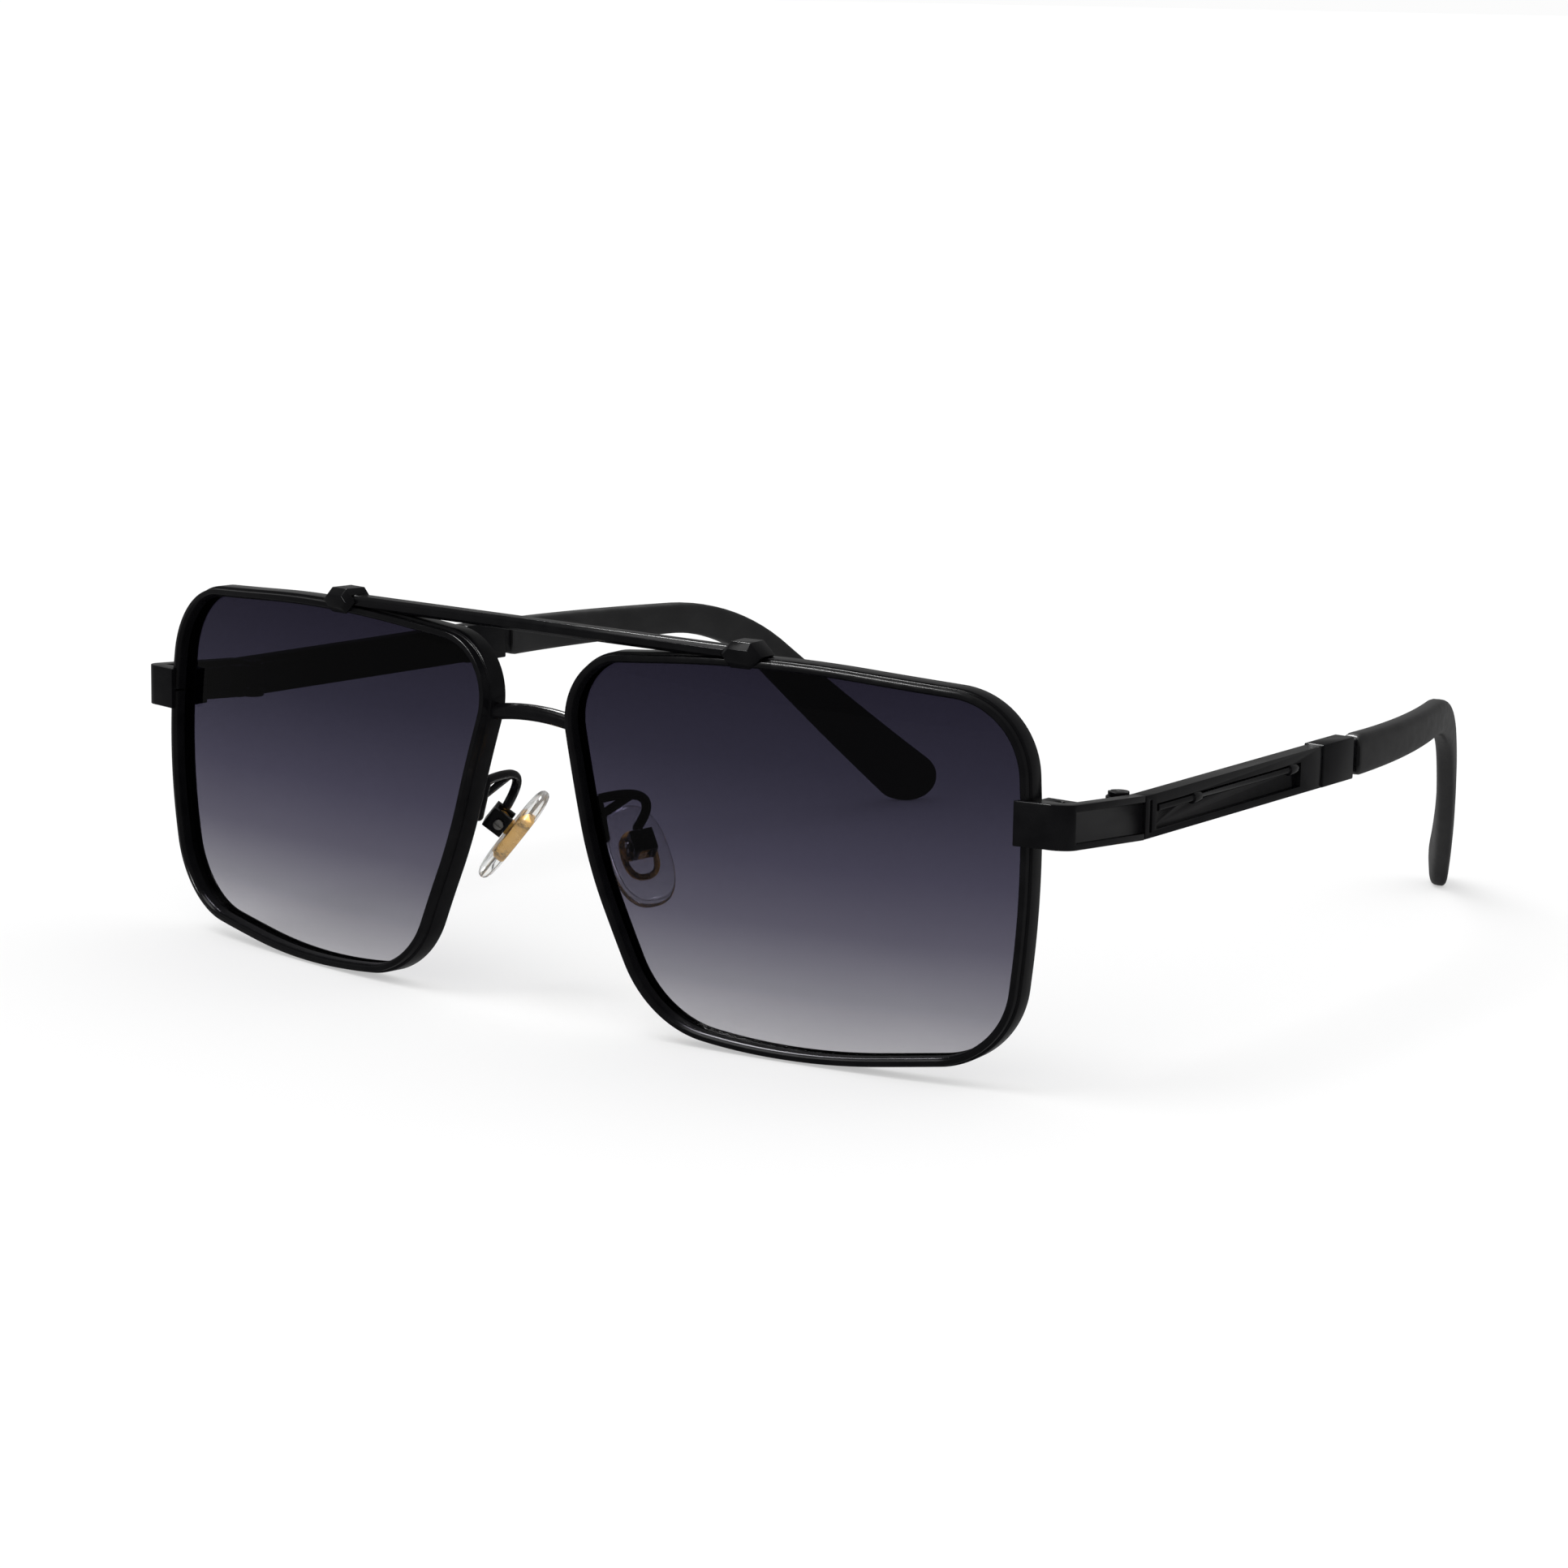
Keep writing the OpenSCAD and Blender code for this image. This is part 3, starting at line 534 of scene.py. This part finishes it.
def makeTip(sideName):
    side = sides[sideName]
    endRadius = temple["endWidth"] / 2
    stations = [(temple["start"] + along, tall, wide) for along, tall, wide in temple["bluntEnd"]]
    s = temple["start"] + temple["firstStep"]
    while s < templeLength - 0.5:
        stations.append((s, 1.0, 1.0))
        s += temple["step"]
    for k in range(temple["roundSteps"] + 1):
        a = math.radians(90 * k / temple["roundSteps"])
        share = max(0.0, math.cos(a))
        stations.append((templeLength + endRadius * math.sin(a), share, share ** temple["edgePower"]))
    rows = []
    for s, tall, wide in stations:
        y, z, turn = templePlace(s)
        half = tipHeight(s) / 2 * tall
        row = []
        for k in range(temple["section"] + 1):
            a = 2 * math.pi * k / temple["section"]
            up = math.copysign(abs(math.sin(a)) ** temple["squareUp"], math.sin(a)) * half
            over = math.copysign(abs(math.cos(a)) ** temple["squareOver"], math.cos(a)) * wide
            py = y + up * math.sin(turn)
            pz = z + up * math.cos(turn)
            middle = templeFace(py) + temple["proud"] - temple["thick"] / 2
            row.append(Vector((side * (middle + over * temple["thick"] / 2), py, pz)) * mm)
        rows.append(row)
    tip = pulledGrid("temple_tip_" + sideName + "_moulded", rows, smooth=50)
    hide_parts("temple_tip_" + sideName)
    wear(tip, tipBlack, "temple_" + sideName)
    return tip


for sideName in sides:
    makeTip(sideName)
    core = frame["nodes"]["core_wire_" + sideName]
    core.data.materials.clear()
    core.data.materials.append(coreSteel)
print("stage: temple tips")

# ---- nose pads: a clear pillow around the gilt insert
pad = {
    "place": (10.0, 9.1 + frontShift / mm, lensZ / mm - 4.4), "turn": (10, -37, -38),
    "length": 13.6, "width": 7.8, "points": 64, "squareness": 0.8,
    "thick": 1.9,
    "section": [(0.0, -0.5), (0.3, -0.497), (0.55, -0.489), (0.74, -0.461), (0.87, -0.406),
                (0.95, -0.306), (0.99, -0.167), (1.0, 0.0), (0.99, 0.167), (0.95, 0.322),
                (0.87, 0.428), (0.74, 0.478), (0.5, 0.5), (0.0, 0.5)],
}


def padPlace(point, side):
    turned = Euler([math.radians(a) for a in pad["turn"]], "XYZ").to_matrix() @ Vector(point)
    placed = turned + Vector(pad["place"])
    return Vector((side * placed.x, placed.y, placed.z)) * mm


def makePad(sideName):
    side = sides[sideName]
    rows = []
    for share, thick in pad["section"]:
        row = []
        for k in range(pad["points"] + 1):
            a = 2 * math.pi * k / pad["points"]
            wide = math.copysign(abs(math.cos(a)) ** pad["squareness"], math.cos(a)) * pad["width"] / 2
            tall = math.copysign(abs(math.sin(a)) ** pad["squareness"], math.sin(a)) * pad["length"] / 2
            row.append(padPlace((thick * pad["thick"], wide * share, tall * share), side))
        rows.append(row)
    pillow = pulledGrid("nose_pad_" + sideName + "_clear", rows, smooth=60)
    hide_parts("nose_pad_" + sideName)
    wear(pillow, padClear, "pad_" + sideName)
    return pillow


# ---- pad arms: round wire, soldered along the rim, out to a knee and down to the pad's box
padArm = {"radius": 0.6, "standOff": 0.06, "around": 14, "steps": 26, "footUp": 3.4, "footLong": 4.6,
          "footIn": 0.7, "legDown": 1.9, "legRadius": 0.9, "rimDepth": 3.4, "legShare": 0.3,
          "pivot": (2.4, 0, 0.4), "boxHeight": 2.8, "boxGap": 0.1, "boxOut": 0.5,
          "knee": (-0.1, 1.4, 0.6), "drop": (0.3, 3.2, 3), "endSteps": (0.0, 0.15, 0.45, 0.75)}


def noseEdge(v):
    hits = []
    for i, (point, out) in enumerate(outline):
        following = outline[(i + 1) % len(outline)]
        a, b = point + out * rimEdge, following[0] + following[1] * rimEdge
        if (a.y - v) * (b.y - v) <= 0 and a.y != b.y:
            hits.append(a.x + (b.x - a.x) * (v - a.y) / (b.y - a.y))
    return min(hits)


def footPlace(v, side):
    depth = (padArm["rimDepth"] + padArm["radius"] + padArm["standOff"]) * mm
    return frontPoint(noseEdge(v * mm) + padArm["footIn"] * mm, v * mm, depth, side)


# The rings that round off a wire's end, from its tip inwards
def roundedEnd(centre, outwards, ring, radius):
    rings = []
    for b in padArm["endSteps"]:
        width = radius * math.sqrt(1 - (1 - b) ** 2)
        rings.append([centre + outwards * radius * (1 - b) + r * width for r in ring])
    return rings


def wirePiece(name, path, radius):
    rows = []
    around = padArm["around"]
    ahead = (path[1] - path[0]).normalized()
    across = ahead.cross(Vector((1, 0, 0))).normalized()
    for i, centre in enumerate(path):
        ahead = (path[min(i + 1, len(path) - 1)] - path[max(i - 1, 0)]).normalized()
        across = (across - ahead * across.dot(ahead)).normalized()
        over = ahead.cross(across)
        ring = [across * math.cos(2 * math.pi * k / around) + over * math.sin(2 * math.pi * k / around)
                for k in range(around + 1)]
        if i == 0:
            rows += roundedEnd(centre, -ahead, ring, radius)
        rows.append([centre + r * radius for r in ring])
        if i == len(path) - 1:
            rows += reversed(roundedEnd(centre, ahead, ring, radius))
    return pulledGrid(name, rows, smooth=60)


def makePadArm(sideName):
    side = sides[sideName]
    radius = padArm["radius"] * mm
    top, low = footPlace(padArm["footUp"], side), footPlace(padArm["footUp"] - padArm["footLong"], side)
    middle = footPlace(padArm["footUp"] - padArm["legDown"], side)
    boxTop = padArm["boxHeight"] / 2 + padArm["radius"] + padArm["boxGap"]
    end = padPlace(Vector(padArm["pivot"]) + Vector((padArm["boxOut"], 0, boxTop)), side)
    kneeOut, kneeBack, kneeUp = padArm["knee"]
    knee = Vector((side * (pad["place"][0] + kneeOut), pad["place"][1] + kneeBack, top.z / mm + kneeUp)) * mm
    pullOut, pullBack, pullUp = padArm["drop"]
    drop = end + Vector((side * pullOut, pullBack, pullUp)) * mm
    path = []
    for k in range(padArm["steps"] + 1):
        t = k / padArm["steps"]
        path.append((1 - t) ** 3 * top + 3 * t * (1 - t) ** 2 * knee + 3 * t * t * (1 - t) * drop
                    + t ** 3 * end)
    legEnd = path[round(padArm["legShare"] * padArm["steps"])]
    main = wirePiece("pad_arm_" + sideName + "_wire", path, radius)
    foot = wirePiece("foot", [low, low.lerp(top, 0.5), top], radius)
    leg = wirePiece("leg", [middle, middle.lerp(legEnd, 0.5), legEnd], radius * padArm["legRadius"])
    pick(main)
    foot.select_set(True)
    leg.select_set(True)
    bpy.ops.object.join()
    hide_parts("pad_arm_" + sideName)
    wear(main, satinBlack, "front")
    return main


for sideName in sides:
    makePad(sideName)
    makePadArm(sideName)
print("stage: nose pads")

# ---- floor, light and camera
studio = {"floorSize": 60.0, "floorColour": (0.5, 0.5, 0.5), "floorGlow": 0.44, "mirroredFloor": 0.22,
          "skyColour": (0.973, 0.973, 0.973), "sky": 1.0, "mirroredSky": 0.2, "sun": 0.8, "sunAngle": 30}


# One value for straight looks, a lower one for mirrored looks, so that black metal stays black
def seenAndMirrored(nodes, links, seen, mirrored, target):
    ray = put(nodes, "ShaderNodeLightPath")
    mirror = put(nodes, "ShaderNodeMath", operation="SUBTRACT", use_clamp=True)
    strength = nodes.new("ShaderNodeMapRange")
    strength.inputs["To Min"].default_value = seen
    strength.inputs["To Max"].default_value = mirrored
    links.new(ray.outputs["Is Glossy Ray"], mirror.inputs[0])
    links.new(ray.outputs["Is Transmission Ray"], mirror.inputs[1])
    links.new(mirror.outputs["Value"], strength.inputs["Value"])
    links.new(strength.outputs["Result"], target)


# White paper that glows a little, which keeps the shadows pale
def makeFloor():
    deselectAll()
    bpy.ops.mesh.primitive_plane_add(size=studio["floorSize"])
    floor = bpy.context.object
    floor.name = "floor"
    material, nodes, links = newMaterial("paleFloor")
    nodes.remove(nodes["Principled BSDF"])
    paper = put(nodes, "ShaderNodeBsdfDiffuse", Color=(*studio["floorColour"], 1))
    glow = put(nodes, "ShaderNodeEmission", Strength=studio["floorGlow"])
    both = put(nodes, "ShaderNodeAddShader")
    black = put(nodes, "ShaderNodeBsdfDiffuse", Color=(0, 0, 0, 1))
    dim = put(nodes, "ShaderNodeMixShader")
    links.new(paper.outputs["BSDF"], both.inputs[0])
    links.new(glow.outputs["Emission"], both.inputs[1])
    links.new(black.outputs["BSDF"], dim.inputs[1])
    links.new(both.outputs["Shader"], dim.inputs[2])
    links.new(dim.outputs["Shader"], nodes["Material Output"].inputs["Surface"])
    seenAndMirrored(nodes, links, 1.0, studio["mirroredFloor"], dim.inputs["Fac"])
    floor.data.materials.append(material)


# Strips that only make highlights
def makeLight(name, place, aim, size, watts):
    deselectAll()
    bpy.ops.object.light_add(type="AREA", location=place)
    light = bpy.context.object
    light.name = name
    light.data.shape = "RECTANGLE"
    light.data.size, light.data.size_y = size
    light.data.energy = watts
    light.visible_diffuse = False
    light.rotation_euler = (Vector(aim) - Vector(place)).to_track_quat("-Z", "Y").to_euler()
    return light


def makeSun(direction):
    deselectAll()
    bpy.ops.object.light_add(type="SUN", location=(0, 0, 2))
    sun = bpy.context.object
    sun.name = "softSun"
    sun.data.energy = studio["sun"]
    sun.data.angle = math.radians(studio["sunAngle"])
    sun.rotation_euler = Vector(direction).to_track_quat("-Z", "Y").to_euler()


def makeWorld():
    world = bpy.data.worlds.new("studio")
    bpy.context.scene.world = world
    world.use_nodes = True
    nodes, links = world.node_tree.nodes, world.node_tree.links
    background = nodes["Background"]
    background.inputs["Color"].default_value = (*studio["skyColour"], 1)
    seenAndMirrored(nodes, links, studio["sky"], studio["mirroredSky"], background.inputs["Strength"])


makeFloor()
makeWorld()
makeSun((0.35, 0.3, -1))
makeLight("topStrip", (-0.25, 0.15, 0.7), (0, -0.02, 0.03), (0.16, 0.5), 14)
makeLight("frontStrip", (-0.2, -0.8, 0.45), (0, -0.05, 0.03), (0.3, 0.12), 7)

camera = {"place": (0.32666, -0.37776, 0.09919), "lens": 96.9,
          "right": (0.7933, 0.6086, 0.0171), "down": (0.1263, -0.1371, -0.9825)}


def makeCamera():
    deselectAll()
    bpy.ops.object.camera_add()
    view = bpy.context.object
    view.data.lens = camera["lens"]
    view.data.sensor_width = 36
    view.data.clip_start, view.data.clip_end = 0.01, 50
    right = Vector(camera["right"]).normalized()
    up = (-Vector(camera["down"])).normalized()
    back = right.cross(up).normalized()
    up = back.cross(right)
    turn = Matrix((right, up, back)).transposed()
    place = Vector(camera["place"]) + Vector((0, frontShift, lensZ))
    view.matrix_world = Matrix.Translation(place) @ turn.to_4x4()
    bpy.context.scene.camera = view


makeCamera()
bpy.context.scene.view_settings.view_transform = "Standard"
print("stage: studio")
